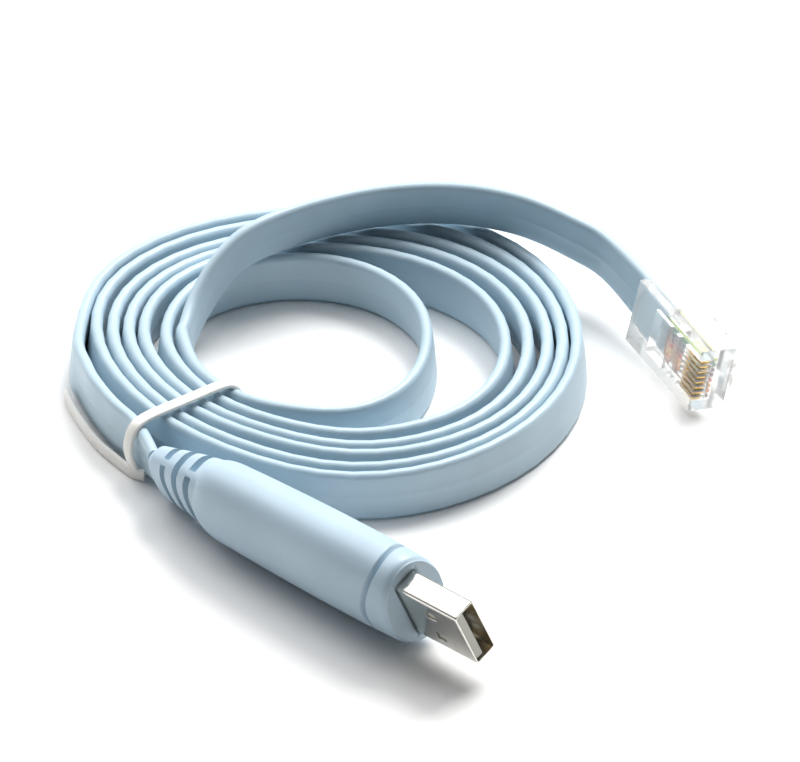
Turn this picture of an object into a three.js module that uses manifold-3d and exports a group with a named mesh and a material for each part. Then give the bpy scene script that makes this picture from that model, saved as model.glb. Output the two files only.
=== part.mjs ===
// USB to RJ45 console cable: flat light blue lead laid in a loose tied coil.
// Millimetres, +Z up, the view of the photograph is from -Y with +X to the right.
import * as THREE from 'three';
import { mergeVertices } from 'three/addons/utils/BufferGeometryUtils.js';
import Module from 'manifold-3d';

const wasm = await Module();
wasm.setup();

// Flat lead
const LEAD_WIDTH = 9.0;
const LEAD_THICK = 2.0;
const CLEAR = 0.3;

// Coil, outermost turn first. Each list gives where the middle of the lead passes
// the left, back, right and front of its turn, and the place of that point along the other axis.
const COIL_LEFT = [-52.4, -50.0, -47.3, -44.7, -42.2, -38.6, -35.6];
const COIL_LEFT_Y = [4.0, 3.8, 2.8, 2.4, 2.0, 0.7, -1.1];
const COIL_BACK = [38.5, 35.5, 32.0, 29.5, 27.1, 24.1];
const COIL_BACK_X = [-8.0, -9.0, -9.5, -11.0, -13.5, -16.2];
const COIL_RIGHT = [29.3, 26.9, 24.4, 21.2, 17.5, 4.7];
const COIL_RIGHT_Y = [-0.9, -0.8, -0.6, -0.8, -0.9, 1.7];
const COIL_FRONT = [-40.0, -37.2, -33.5, -31.0, -27.5, -21.9];
const COIL_FRONT_X = [-7.6, -7.8, -8.0, -8.6, -10.3, -15.5];
const STEPS_PER_QUARTER = 3;
// Fullness of the quarter curves, 2 is an ellipse, outermost and innermost turn
const FULL_BACK_LEFT = [2.2, 2.15];
const FULL_BACK_RIGHT = [2.1, 2.04];
const FULL_FRONT_RIGHT = [1.94, 2.28];
const FULL_FRONT_LEFT = [1.88, 1.88];
// The turns stand with their tops a little inward at the left and right
const SIDE_LEAN = THREE.MathUtils.degToRad(7);

// Tie that holds the turns at the front left
const TIE_WIDTH = 2.2;
const TIE_THICK = 0.8;
const TIE_LINE = { x: -35.6, y: -22.5, angle: THREE.MathUtils.degToRad(37) };
const TIE_REACH_OUT = 11.2;
const TIE_REACH_IN = 12.4;
const TIE_CORNER = 2.0;
const TIE_TAIL_POINTS = [
  [-43.5, -28.4], [-46.2, -24.8], [-49.3, -20.2], [-51.9, -14.4], [-53.8, -9.0], [-54.6, -5.4],
];
// The turns ride up over the tie where it passes under them
const TIE_LIFT = TIE_THICK + CLEAR;
const LIFT_REACH = 30;
const LIFT_FULL = 0.6;

// Arm: the free end that passes over the back of the coil to the small plug.
// Each point is x, y, height of the middle of the lead, lean of its top toward the viewer in degrees.
const ARM_POINTS = [
  [-35.3, 3.2, 0.9, 0], [-34.0, 8.3, 2.2, 2], [-31.8, 12.6, 4.6, 5], [-28.9, 16.3, 7.2, 8],
  [-24.9, 20.0, 9.0, 10], [-18.5, 24.6, 9.3, 11], [-11.0, 28.5, 9.3, 11], [-3.3, 31.1, 9.3, 11],
  [5.0, 32.1, 9.3, 11], [13.0, 31.2, 9.3, 10], [21.0, 28.9, 8.6, 8], [28.3, 25.4, 7.0, 6],
  [34.2, 21.4, 5.4, 3],
];

// Tail: the other end, from the outermost turn to the strain relief of the large plug.
const TAIL_POINTS = [[-51.4, -7.6], [-49.3, -14.6], [-46.3, -20.8], [-42.6, -26.2]];

// Large plug: metal shell in a moulded housing with a ribbed strain relief
const USB = {
  x: 2.6, y: -77.9, yaw: -45.6, pitch: 2.2, roll: 24,
  shellLength: 13.6, shellWidth: 12.0, shellHeight: 4.5, shellWall: 0.3, shellCorner: 0.6,
  shellSeat: 3.0, recessDepth: 1.6, recessClear: 0.7,
  windowLength: 2.1, windowWidth: 2.0, windowFromTip: 5.9, windowSpread: 2.75,
  tongueThick: 1.9, tongueInset: 0.4, contactPitch: 2.25, contactWidth: 1.0,
  contactLength: 8.2, contactThick: 0.25, contactInset: 1.4,
  bodyLength: 47.4, bodyWidth: 18.2, bodyThick: 13.4,
  rearRound: 5, rearShrink: 0.34, taperStart: 12, taperRun: 34, taper: 0.11,
  grooveFromFront: 4.75, grooveWave: 1.0, grooveTurn: 100, grooveWide: 0.7, grooveDeep: 0.45,
  reliefLength: 12.2, reliefDrop: 1.6, reliefStartWidth: 13.6, reliefStartThick: 9.2,
  reliefEndWidth: 11.4, reliefEndThick: 5.2, slotWide: 1.25, slotPitch: 3.4, slotFirst: 0.1,
};

// Small plug: clear modular plug, eight ways
const RJ = {
  x: 51.1, y: -9.05, yaw: -62.1, pitch: -3.8, roll: -11.5,
  length: 21.6, width: 11.68, noseHeight: 6.6, rearHeight: 8.0, noseLength: 9.6,
  contactPitch: 1.02, contactWidth: 0.35, slotWidth: 0.6, slotLength: 5.6, slotDepth: 2.4,
  contactLength: 5.0, contactHeight: 1.9, contactSunk: 0.35,
  leadDepth: 8.6, leadRise: 0.6, wireDiameter: 0.66, wireStart: 2.2,
  barLength: 3.0, barWidth: 7.6, barDepth: 1.4, barFromRear: 5.2,
  latchWidth: 6.0, latchEndWidth: 3.3, latchThick: 1.0, latchLength: 15.2, latchRise: 4.6,
};

function material(color, roughness, metalness, extra = {}) {
  return new THREE.MeshStandardMaterial({ color, roughness, metalness, ...extra });
}
const MATERIALS = {
  jacket: material(0x9fbcd6, 0.5, 0),
  housing: material(0xa6c1da, 0.48, 0),
  steel: material(0xc9c7be, 0.28, 1),
  insulator: material(0xc8c8bd, 0.55, 0),
  gold: material(0xc79a3c, 0.3, 1),
  clear: material(0xe6ecec, 0.12, 0, { transparent: true, opacity: 0.45 }),
  tie: material(0xf1f1ec, 0.5, 0),
};
const WIRE_COLORS = [0x9c6044, 0xe28a38, 0xeab450, 0xcc4a3c, 0x7c4048, 0x44484e, 0x3f9058, 0xb4d05a];

// Solid helpers

function toManifold(geometry) {
  const plain = geometry.index ? geometry.toNonIndexed() : geometry.clone();
  plain.deleteAttribute('normal');
  plain.deleteAttribute('uv');
  const merged = mergeVertices(plain, 1e-4);
  return new wasm.Manifold(new wasm.Mesh({
    numProp: 3,
    vertProperties: new Float32Array(merged.attributes.position.array),
    triVerts: new Uint32Array(merged.index.array),
  }));
}

function toGeometry(manifold) {
  const mesh = manifold.getMesh();
  const geometry = new THREE.BufferGeometry();
  geometry.setAttribute('position', new THREE.BufferAttribute(new Float32Array(mesh.vertProperties), 3));
  geometry.setIndex(new THREE.BufferAttribute(new Uint32Array(mesh.triVerts), 1));
  return geometry;
}

function subtract(base, cutters) {
  return toGeometry(cutters.reduce((solid, cutter) => solid.subtract(toManifold(cutter)), toManifold(base)));
}

function join(pieces) {
  const [first, ...rest] = pieces.map(toManifold);
  return toGeometry(rest.reduce((solid, piece) => solid.add(piece), first));
}

// Box from x0 to x1, y0 to y1, z0 to z1
function box(x0, x1, y0, y1, z0, z1) {
  const geometry = new THREE.BoxGeometry(x1 - x0, y1 - y0, z1 - z0);
  return geometry.translate((x0 + x1) / 2, (y0 + y1) / 2, (z0 + z1) / 2);
}

// Rounded rectangle outline in a plane, as a shape of the given full sizes
function roundedShape(width, height, radius) {
  const w = width / 2;
  const h = height / 2;
  const shape = new THREE.Shape();
  shape.moveTo(-w + radius, -h);
  shape.lineTo(w - radius, -h);
  shape.absarc(w - radius, -h + radius, radius, -Math.PI / 2, 0);
  shape.lineTo(w, h - radius);
  shape.absarc(w - radius, h - radius, radius, 0, Math.PI / 2);
  shape.lineTo(-w + radius, h);
  shape.absarc(-w + radius, h - radius, radius, Math.PI / 2, Math.PI);
  shape.lineTo(-w, -h + radius);
  shape.absarc(-w + radius, -h + radius, radius, Math.PI, 1.5 * Math.PI);
  return shape;
}

// Solid of a section in the plug's Y and Z, from x0 to x1 along its axis
function alongX(shape, x0, x1, curveSegments = 4) {
  const geometry = new THREE.ExtrudeGeometry(shape, { depth: x1 - x0, bevelEnabled: false, curveSegments });
  // The extrusion runs along Z with the shape in X and Y: turn it so that Z is X, X is Y and Y is Z
  const turn = new THREE.Matrix4().makeBasis(
    new THREE.Vector3(0, 1, 0), new THREE.Vector3(0, 0, 1), new THREE.Vector3(1, 0, 0));
  return geometry.applyMatrix4(turn).translate(x0, 0, 0);
}

// Closed solid through rings of equal point counts, first to last
function loft(rings) {
  const count = rings[0].length;
  const positions = [];
  const index = [];
  for (const ring of rings) {
    for (const point of ring) {
      positions.push(point.x, point.y, point.z);
    }
  }
  for (let r = 0; r < rings.length - 1; r += 1) {
    for (let i = 0; i < count; i += 1) {
      const a = r * count + i;
      const b = r * count + ((i + 1) % count);
      index.push(a, b, b + count, a, b + count, a + count);
    }
  }
  for (const [r, flip] of [[0, true], [rings.length - 1, false]]) {
    const center = new THREE.Vector3();
    rings[r].forEach((point) => center.add(point));
    center.divideScalar(count);
    const hub = positions.length / 3;
    positions.push(center.x, center.y, center.z);
    for (let i = 0; i < count; i += 1) {
      const a = r * count + i;
      const b = r * count + ((i + 1) % count);
      index.push(...(flip ? [hub, b, a] : [hub, a, b]));
    }
  }
  const geometry = new THREE.BufferGeometry();
  geometry.setAttribute('position', new THREE.BufferAttribute(new Float32Array(positions), 3));
  geometry.setIndex(index);
  return geometry;
}

// Where a plug lies: turned as it is, and as low as its lowest point allows
function plugMatrix(plug, lowestPiece) {
  const turn = new THREE.Euler(
    THREE.MathUtils.degToRad(plug.roll), THREE.MathUtils.degToRad(-plug.pitch),
    THREE.MathUtils.degToRad(plug.yaw), 'ZYX');
  const matrix = new THREE.Matrix4().makeRotationFromEuler(turn);
  const turned = lowestPiece.clone().applyMatrix4(matrix);
  turned.computeBoundingBox();
  return matrix.setPosition(plug.x, plug.y, -turned.boundingBox.min.z);
}

// The lead as a strip on its edge. A station is a point of its middle with the
// direction of its width, and the path gives them to the extrusion as they are.
class StripPath extends THREE.Curve {
  constructor(stations) {
    super();
    this.stations = stations;
  }

  getPoint(t) {
    const place = t * (this.stations.length - 1);
    const i = Math.min(Math.floor(place), this.stations.length - 2);
    return this.stations[i].point.clone().lerp(this.stations[i + 1].point, place - i);
  }

  getSpacedPoints() {
    return this.stations.map((station) => station.point);
  }

  computeFrenetFrames() {
    const last = this.stations.length - 1;
    const tangents = this.stations.map((station, i) => {
      if (station.along) {
        return station.along.clone().normalize();
      }
      const back = station.point.clone().sub(this.stations[Math.max(i - 1, 0)].point);
      const ahead = this.stations[Math.min(i + 1, last)].point.clone().sub(station.point);
      return back.normalize().add(ahead.normalize()).normalize();
    });
    const normals = this.stations.map((station, i) => {
      const across = station.up.clone().addScaledVector(tangents[i], -station.up.dot(tangents[i]));
      return across.normalize().negate();
    });
    const binormals = tangents.map((tangent, i) => tangent.clone().cross(normals[i]));
    return { tangents, normals, binormals };
  }
}

// Section of the lead: its width along the first axis, with round edges, ten sides
function leadShape() {
  const half = LEAD_WIDTH / 2;
  const r = LEAD_THICK / 2;
  const shape = new THREE.Shape();
  const corners = [-60, 0, 60].map((angle) => THREE.MathUtils.degToRad(angle));
  const points = [new THREE.Vector2(half - r, -r)];
  for (const angle of corners) {
    points.push(new THREE.Vector2(half - r + r * Math.cos(angle), r * Math.sin(angle)));
  }
  points.push(new THREE.Vector2(half - r, r));
  shape.setFromPoints([...points, ...points.map((p) => new THREE.Vector2(-p.x, -p.y))]);
  return shape;
}

function strip(stations) {
  return new THREE.ExtrudeGeometry(leadShape(), {
    steps: stations.length - 1, extrudePath: new StripPath(stations), bevelEnabled: false,
  });
}

function upright(point, lean, ahead) {
  const side = new THREE.Vector3(ahead.y, -ahead.x, 0).normalize();
  const up = new THREE.Vector3(0, 0, Math.cos(lean)).addScaledVector(side, Math.sin(lean));
  return { point, up };
}

// Height of the lead's middle: flat on the floor, and over the tie near the tie's line
function restingHeight(x, y) {
  const across = (x - TIE_LINE.x) * Math.sin(TIE_LINE.angle) - (y - TIE_LINE.y) * Math.cos(TIE_LINE.angle);
  const near = Math.max(0, 1 - Math.abs(across) / LIFT_REACH);
  const isFrontLeft = x < TIE_LINE.x + LIFT_REACH && y < 0;
  return LEAD_WIDTH / 2 + (isFrontLeft ? TIE_LIFT * THREE.MathUtils.smoothstep(near, 0, LIFT_FULL) : 0);
}

// Middle of the lead on one quarter of a turn. The curve runs between its side point and its end point.
function quarterPoints(side, end, fullness, sideFirst) {
  const points = [];
  for (let step = 0; step < STEPS_PER_QUARTER; step += 1) {
    const turn = (Math.PI / 2) * (step / STEPS_PER_QUARTER);
    const angle = sideFirst ? turn : Math.PI / 2 - turn;
    const reach = (Math.cos(angle) ** fullness + Math.sin(angle) ** fullness) ** (-1 / fullness);
    points.push({
      x: end.x + (side.x - end.x) * reach * Math.cos(angle),
      y: side.y + (end.y - side.y) * reach * Math.sin(angle),
      lean: SIDE_LEAN * Math.cos(angle) ** 2,
    });
  }
  return points;
}

function coilStations() {
  const turns = COIL_BACK.length;
  const route = [];
  for (let i = 0; i < turns; i += 1) {
    const share = i / (turns - 1);
    const pick = ([outer, inner]) => THREE.MathUtils.lerp(outer, inner, share);
    const left = { x: COIL_LEFT[i], y: COIL_LEFT_Y[i] };
    const back = { x: COIL_BACK_X[i], y: COIL_BACK[i] };
    const right = { x: COIL_RIGHT[i], y: COIL_RIGHT_Y[i] };
    const front = { x: COIL_FRONT_X[i], y: COIL_FRONT[i] };
    const nextLeft = { x: COIL_LEFT[i + 1], y: COIL_LEFT_Y[i + 1] };
    route.push(...quarterPoints(left, back, pick(FULL_BACK_LEFT), true));
    route.push(...quarterPoints(right, back, pick(FULL_BACK_RIGHT), false));
    route.push(...quarterPoints(right, front, pick(FULL_FRONT_RIGHT), true));
    route.push(...quarterPoints(nextLeft, front, pick(FULL_FRONT_LEFT), false));
  }
  route.push({ x: COIL_LEFT[turns], y: COIL_LEFT_Y[turns], lean: SIDE_LEAN });
  const stations = route.map((spot, i) => {
    const next = route[Math.min(i + 1, route.length - 1)];
    const last = route[Math.max(i - 1, 0)];
    const ahead = new THREE.Vector3(next.x - last.x, next.y - last.y, 0);
    return upright(new THREE.Vector3(spot.x, spot.y, restingHeight(spot.x, spot.y)), spot.lean, ahead);
  });
  // Both ends face along Y, so that the arm and the tail meet them squarely
  stations[0].along = new THREE.Vector3(0, 1, 0);
  stations[stations.length - 1].along = new THREE.Vector3(0, 1, 0);
  return stations;
}

// A stretch of the lead that starts at the coil's end face, less the gap that touching pieces keep
function fromTouch([first, ...rest]) {
  return [{ ...first, point: first.point.clone().addScaledVector(first.along, CLEAR) }, ...rest];
}

function armStations(coil, plug) {
  const first = coil[coil.length - 1];
  const along = new THREE.Vector3(1, 0, 0).transformDirection(plug);
  const plugUp = new THREE.Vector3(0, 0, 1).transformDirection(plug);
  const inPlug = new THREE.Vector3(-RJ.length + RJ.leadDepth - CLEAR, 0, RJ.leadRise).applyMatrix4(plug);
  const atPlug = new THREE.Vector3(-RJ.length - 1, 0, RJ.leadRise).applyMatrix4(plug);
  const middle = ARM_POINTS.map(([x, y, lift, lean], i) => {
    const next = ARM_POINTS[Math.min(i + 1, ARM_POINTS.length - 1)];
    const last = ARM_POINTS[Math.max(i - 1, 0)];
    const ahead = new THREE.Vector3(next[0] - last[0], next[1] - last[1], 0);
    const point = new THREE.Vector3(x, y, LEAD_WIDTH / 2 + lift);
    return upright(point, THREE.MathUtils.degToRad(lean), ahead);
  });
  return [first, ...middle, { point: atPlug, up: plugUp, along }, { point: inPlug, up: plugUp, along }];
}

function tailStations(coil, plug) {
  const first = { ...coil[0], along: coil[0].along.clone().negate() };
  const along = new THREE.Vector3(1, 0, 0).transformDirection(plug);
  const entry = new THREE.Vector3(-USB.bodyLength - USB.reliefLength - CLEAR, 0, -USB.reliefDrop).applyMatrix4(plug);
  const plugUp = new THREE.Vector3(0, 0, 1).transformDirection(plug);
  const middle = TAIL_POINTS.map(([x, y], i) => {
    const next = TAIL_POINTS[Math.min(i + 1, TAIL_POINTS.length - 1)];
    const last = TAIL_POINTS[Math.max(i - 1, 0)];
    const ahead = new THREE.Vector3(next[0] - last[0], next[1] - last[1], 0);
    return upright(new THREE.Vector3(x, y, restingHeight(x, y)), 0, ahead);
  });
  return [first, ...middle, { point: entry, up: plugUp, along }];
}

// Large plug, in its own axes: X out of the mouth from the housing's front face, Z up its width

function usbShell() {
  const { shellLength, shellSeat, shellWidth, shellHeight, shellWall, shellCorner } = USB;
  const outer = roundedShape(shellHeight, shellWidth, shellCorner);
  const inner = roundedShape(shellHeight - 2 * shellWall, shellWidth - 2 * shellWall, shellCorner - shellWall);
  outer.holes.push(inner);
  const tube = alongX(outer, -shellSeat, shellLength);
  const windows = [-1, 1].map((side) => box(
    shellLength - USB.windowFromTip - USB.windowLength, shellLength - USB.windowFromTip,
    -shellHeight, shellHeight,
    side * USB.windowSpread - USB.windowWidth / 2, side * USB.windowSpread + USB.windowWidth / 2));
  return subtract(tube, windows);
}

function usbTongue() {
  const halfWidth = USB.shellWidth / 2 - USB.shellWall - CLEAR;
  const near = -USB.shellHeight / 2 + USB.shellWall + CLEAR;
  return box(-USB.shellSeat, USB.shellLength - USB.tongueInset, near, near + USB.tongueThick - CLEAR,
    -halfWidth, halfWidth);
}

function usbContact(i) {
  const face = -USB.shellHeight / 2 + USB.shellWall + USB.tongueThick;
  const z = (i - 1.5) * USB.contactPitch;
  const tip = USB.shellLength - USB.contactInset;
  return box(tip - USB.contactLength, tip, face, face + USB.contactThick,
    z - USB.contactWidth / 2, z + USB.contactWidth / 2);
}

// Housing outline at a distance behind the front face: barrel with a rounded rear
function housingScale(back) {
  const { taperStart, taperRun, taper, rearRound, rearShrink, bodyLength } = USB;
  const swell = back < taperStart
    ? 1 - 0.035 * ((taperStart - back) / taperStart) ** 2
    : 1 - taper * ((back - taperStart) / taperRun) ** 2;
  const past = Math.max(0, 1 - (bodyLength - back) / rearRound);
  return swell * (1 - rearShrink + rearShrink * Math.sqrt(1 - past ** 2));
}

function housingRing(back, scale, wave = 0) {
  const sides = 40;
  const turn = THREE.MathUtils.degToRad(USB.grooveTurn);
  return Array.from({ length: sides }, (_, i) => {
    const angle = (i / sides) * 2 * Math.PI;
    const y = (USB.bodyThick / 2) * scale * Math.cos(angle);
    const z = (USB.bodyWidth / 2) * scale * Math.sin(angle);
    return new THREE.Vector3(-back + wave * Math.cos(2 * (angle - turn)), y, z);
  });
}

// How far the relief's middle has come down at a distance behind the front face
function reliefDrop(back) {
  const share = Math.max(0, (back - USB.bodyLength) / USB.reliefLength);
  return USB.reliefDrop * share ** 1.5;
}

function reliefShape(width, thick) {
  return roundedShape(thick, width, thick * 0.42);
}

function usbHousing() {
  const rings = [];
  const groove = USB.grooveFromFront;
  rings.push(housingRing(0, housingScale(0) * 0.93));
  rings.push(housingRing(0.5, housingScale(0.5)));
  rings.push(housingRing(groove - USB.grooveWide, housingScale(groove), USB.grooveWave));
  const deep = housingScale(groove) * (1 - USB.grooveDeep / (USB.bodyThick / 2));
  rings.push(housingRing(groove - USB.grooveWide / 2, deep, USB.grooveWave));
  rings.push(housingRing(groove + USB.grooveWide / 2, deep, USB.grooveWave));
  rings.push(housingRing(groove + USB.grooveWide, housingScale(groove), USB.grooveWave));
  for (const back of [9, 14, 20, 26, 32]) {
    rings.push(housingRing(back, housingScale(back)));
  }
  for (const toRear of [9, USB.rearRound, 3.4, 2, 1, 0.35, 0]) {
    rings.push(housingRing(USB.bodyLength - toRear, housingScale(USB.bodyLength - toRear)));
  }
  const body = loft(rings.reverse());
  const reliefSteps = 4;
  const reliefRings = Array.from({ length: reliefSteps + 1 }, (_, i) => {
    const share = i / reliefSteps;
    const width = THREE.MathUtils.lerp(USB.reliefEndWidth, USB.reliefStartWidth, share);
    const thick = THREE.MathUtils.lerp(USB.reliefEndThick, USB.reliefStartThick, share);
    const x = -USB.bodyLength - USB.reliefLength + share * (USB.reliefLength + 2);
    const outline = reliefShape(width, thick).getPoints(5).slice(0, -1);
    return outline.map((p) => new THREE.Vector3(x, p.x, p.y - reliefDrop(-x)));
  });
  const relief = loft(reliefRings);
  const cutters = [];
  for (let i = 0; i < 3; i += 1) {
    const x1 = -USB.bodyLength - USB.slotFirst - i * USB.slotPitch;
    const coreWidth = LEAD_WIDTH + 1.0;
    const coreThick = LEAD_THICK + 1.4;
    const ring = roundedShape(40, 40, 1);
    ring.holes.push(reliefShape(coreWidth, coreThick));
    const drop = reliefDrop(USB.slotWide / 2 - x1);
    const whole = toManifold(alongX(ring, x1 - USB.slotWide, x1).translate(0, 0, -drop));
    const bridges = i % 2 === 1
      ? [box(x1 - 3, x1 + 1, -1.2, 1.2, -20, 20)]
      : [16, 104].map((angle) => box(x1 - 3, x1 + 1, -20, 20, -0.8, 0.8)
        .rotateX(THREE.MathUtils.degToRad(angle)));
    cutters.push(bridges.reduce((solid, bridge) => solid.subtract(toManifold(bridge)), whole));
  }
  const seat = alongX(roundedShape(USB.shellHeight + 2 * CLEAR, USB.shellWidth + 2 * CLEAR, 0.6),
    -USB.shellSeat - USB.recessDepth - CLEAR, 1);
  const recess = alongX(
    roundedShape(USB.shellHeight + 2 * USB.recessClear, USB.shellWidth + 2 * USB.recessClear, 1.2),
    -USB.recessDepth, 1);
  const blank = toManifold(body).add(toManifold(relief));
  const slotted = cutters.reduce((solid, cutter) => solid.subtract(cutter), blank);
  return toGeometry(slotted.subtract(toManifold(seat)).subtract(toManifold(recess)));
}

// Small plug, in its own axes: X out of the nose, +Y the latch side, Z across the eight ways

function rjBody() {
  const contactSide = -RJ.noseHeight / 2;
  const half = RJ.width / 2;
  const rear = -RJ.length;
  const blank = join([
    box(-RJ.noseLength, 0, contactSide, -contactSide, -half, half),
    box(rear, -RJ.noseLength + 1, contactSide, contactSide + RJ.rearHeight, -half, half),
  ]);
  const cuts = [];
  for (let i = 0; i < 8; i += 1) {
    const z = (i - 3.5) * RJ.contactPitch;
    cuts.push(box(-RJ.slotLength, 1, contactSide - 1, contactSide + RJ.slotDepth,
      z - RJ.slotWidth / 2, z + RJ.slotWidth / 2));
  }
  const wireRoom = RJ.wireDiameter / 2 + CLEAR;
  const wireHalf = 3.5 * RJ.contactPitch + wireRoom;
  cuts.push(box(rear + RJ.leadDepth - 1, -RJ.wireStart + CLEAR, -wireRoom, wireRoom, -wireHalf, wireHalf));
  cuts.push(box(rear - 1, rear + RJ.leadDepth, -LEAD_THICK / 2 - CLEAR, LEAD_THICK / 2 + CLEAR,
    RJ.leadRise - LEAD_WIDTH / 2 - CLEAR, RJ.leadRise + LEAD_WIDTH / 2 + CLEAR));
  cuts.push(box(rear + RJ.barFromRear, rear + RJ.barFromRear + RJ.barLength,
    contactSide - 1, contactSide + RJ.barDepth, -RJ.barWidth / 2, RJ.barWidth / 2));
  const shell = subtract(blank, cuts);
  return join([shell, rjLatch()]);
}

function rjLatch() {
  const root = RJ.noseHeight / 2;
  const shape = new THREE.Shape();
  const rise = Math.atan2(RJ.latchRise, RJ.latchLength);
  shape.moveTo(0, root - 0.5);
  shape.lineTo(0, root + RJ.latchThick * 0.9);
  shape.lineTo(-1.2, root + RJ.latchThick * 1.5);
  shape.lineTo(-RJ.latchLength, root + RJ.latchRise + RJ.latchThick);
  shape.lineTo(-RJ.latchLength + Math.sin(rise) * RJ.latchThick, root + RJ.latchRise);
  shape.lineTo(-2.6, root + 0.55);
  shape.lineTo(-1.6, root - 0.5);
  const width = RJ.latchWidth;
  const blank = new THREE.ExtrudeGeometry(shape, { depth: width, bevelEnabled: false });
  blank.translate(0, 0, -width / 2);
  const trims = [-1, 1].map((side) => {
    const z0 = side > 0 ? RJ.latchEndWidth / 2 : -width;
    const z1 = side > 0 ? width : -RJ.latchEndWidth / 2;
    return box(-RJ.latchLength - 1, -RJ.latchLength * 0.55, root + 0.4, root + 20, z0, z1);
  });
  return subtract(blank, trims);
}

function rjContact(i) {
  const contactSide = -RJ.noseHeight / 2;
  const z = (i - 3.5) * RJ.contactPitch;
  const y0 = contactSide + RJ.contactSunk;
  return box(-RJ.contactLength, -0.3, y0, y0 + RJ.contactHeight - CLEAR,
    z - RJ.contactWidth / 2, z + RJ.contactWidth / 2);
}

function rjWire(i) {
  const z = (i - 3.5) * RJ.contactPitch;
  const length = RJ.length - RJ.leadDepth - RJ.wireStart - CLEAR;
  const geometry = new THREE.CylinderGeometry(RJ.wireDiameter / 2, RJ.wireDiameter / 2, length, 10);
  return geometry.rotateZ(Math.PI / 2).translate(-RJ.wireStart - length / 2, 0, z);
}

// Tie: a flat band in a closed loop round the turns, with one end lying out on the floor

function tieBand() {
  const length = TIE_REACH_IN + TIE_REACH_OUT;
  const high = LEAD_WIDTH + TIE_LIFT + CLEAR + TIE_THICK;
  const outline = roundedShape(length, high, TIE_CORNER);
  outline.holes.push(roundedShape(
    length - 2 * TIE_THICK, high - 2 * TIE_THICK, TIE_CORNER - TIE_THICK));
  const band = new THREE.ExtrudeGeometry(outline, { depth: TIE_WIDTH, bevelEnabled: false, curveSegments: 5 });
  band.translate((TIE_REACH_IN - TIE_REACH_OUT) / 2, high / 2, -TIE_WIDTH / 2);
  band.rotateX(Math.PI / 2).rotateZ(TIE_LINE.angle);
  return band.translate(TIE_LINE.x, TIE_LINE.y, 0);
}

function tieTail() {
  const path = new THREE.CatmullRomCurve3(
    TIE_TAIL_POINTS.map(([x, y]) => new THREE.Vector3(x, y, TIE_WIDTH / 2)));
  const section = roundedShape(TIE_WIDTH, TIE_THICK, TIE_THICK * 0.3);
  return new THREE.ExtrudeGeometry(section, {
    steps: 14, extrudePath: path, bevelEnabled: false, curveSegments: 1,
  });
}

// Assembly

function mesh(name, geometry, surface, matrix) {
  const solid = geometry.index ? geometry : mergeVertices(geometry);
  if (matrix) {
    solid.applyMatrix4(matrix);
  }
  solid.computeVertexNormals();
  const node = new THREE.Mesh(solid, surface);
  node.name = name;
  return node;
}

const part = new THREE.Group();
part.name = 'rj45_console_cable';
const lead = new THREE.Group();
const plugs = new THREE.Group();

const housing = usbHousing();
const usbMatrix = plugMatrix(USB, housing);
const rjSolid = rjBody();
const rjMatrix = plugMatrix(RJ, rjSolid);

const coil = coilStations();
lead.add(mesh('cable_coil', strip(coil), MATERIALS.jacket));
lead.add(mesh('cable_arm', strip(fromTouch(armStations(coil, rjMatrix))), MATERIALS.jacket));
lead.add(mesh('cable_tail', strip(fromTouch(tailStations(coil, usbMatrix))), MATERIALS.jacket));
lead.add(mesh('twist_tie', join([tieBand(), tieTail()]), MATERIALS.tie));

plugs.add(mesh('usb_housing', housing, MATERIALS.housing, usbMatrix));
plugs.add(mesh('usb_shell', usbShell(), MATERIALS.steel, usbMatrix));
plugs.add(mesh('usb_tongue', usbTongue(), MATERIALS.insulator, usbMatrix));
for (let i = 0; i < 4; i += 1) {
  plugs.add(mesh(`usb_contact_${i + 1}`, usbContact(i), MATERIALS.gold, usbMatrix));
}

plugs.add(mesh('rj45_body', rjSolid, MATERIALS.clear, rjMatrix));
for (let i = 0; i < 8; i += 1) {
  plugs.add(mesh(`rj45_contact_${i + 1}`, rjContact(i), MATERIALS.gold, rjMatrix));
  plugs.add(mesh(`conductor_${i + 1}`, rjWire(i), material(WIRE_COLORS[i], 0.5, 0), rjMatrix));
}

// The origin is the middle of the box round the two plugs, on the floor that they rest on
const bounds = new THREE.Box3().setFromObject(plugs, true);
const middle = bounds.getCenter(new THREE.Vector3());
for (const group of [lead, plugs]) {
  group.position.set(-middle.x, -middle.y, -bounds.min.z);
  part.add(group);
}

export default part;
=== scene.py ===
"""Console cable: a flat light blue lead in a loose tied coil, a metal-shelled plug and a clear plug."""

import math

import bmesh
import bpy
from mathutils import Euler, Matrix, Vector


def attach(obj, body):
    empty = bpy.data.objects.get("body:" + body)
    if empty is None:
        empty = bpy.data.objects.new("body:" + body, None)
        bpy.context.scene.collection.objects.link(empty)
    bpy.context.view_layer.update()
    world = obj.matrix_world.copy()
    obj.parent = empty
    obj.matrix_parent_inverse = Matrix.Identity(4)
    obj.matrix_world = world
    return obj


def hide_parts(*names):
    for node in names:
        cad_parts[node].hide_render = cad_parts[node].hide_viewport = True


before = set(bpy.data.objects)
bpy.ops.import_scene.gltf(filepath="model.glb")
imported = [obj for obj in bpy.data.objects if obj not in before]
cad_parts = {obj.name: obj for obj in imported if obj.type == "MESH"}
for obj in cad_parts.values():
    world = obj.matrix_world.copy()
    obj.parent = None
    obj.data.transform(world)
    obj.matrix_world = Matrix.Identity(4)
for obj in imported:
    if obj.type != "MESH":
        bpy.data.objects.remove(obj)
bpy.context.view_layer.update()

MM = 0.001
# The shapes are drawn in millimetres round the point under the picture's middle.
# The part's own origin lies here in that drawing.
ORIGIN = Vector((6.9149, -39.0436, 0.0))
TILT = math.radians(34.0)
PIXELS_PER_MM = 6.1
PICTURE_WIDTH = 800
SENSOR_WIDTH = 36.0
DISTANCE = 4736.0


# Camera

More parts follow.
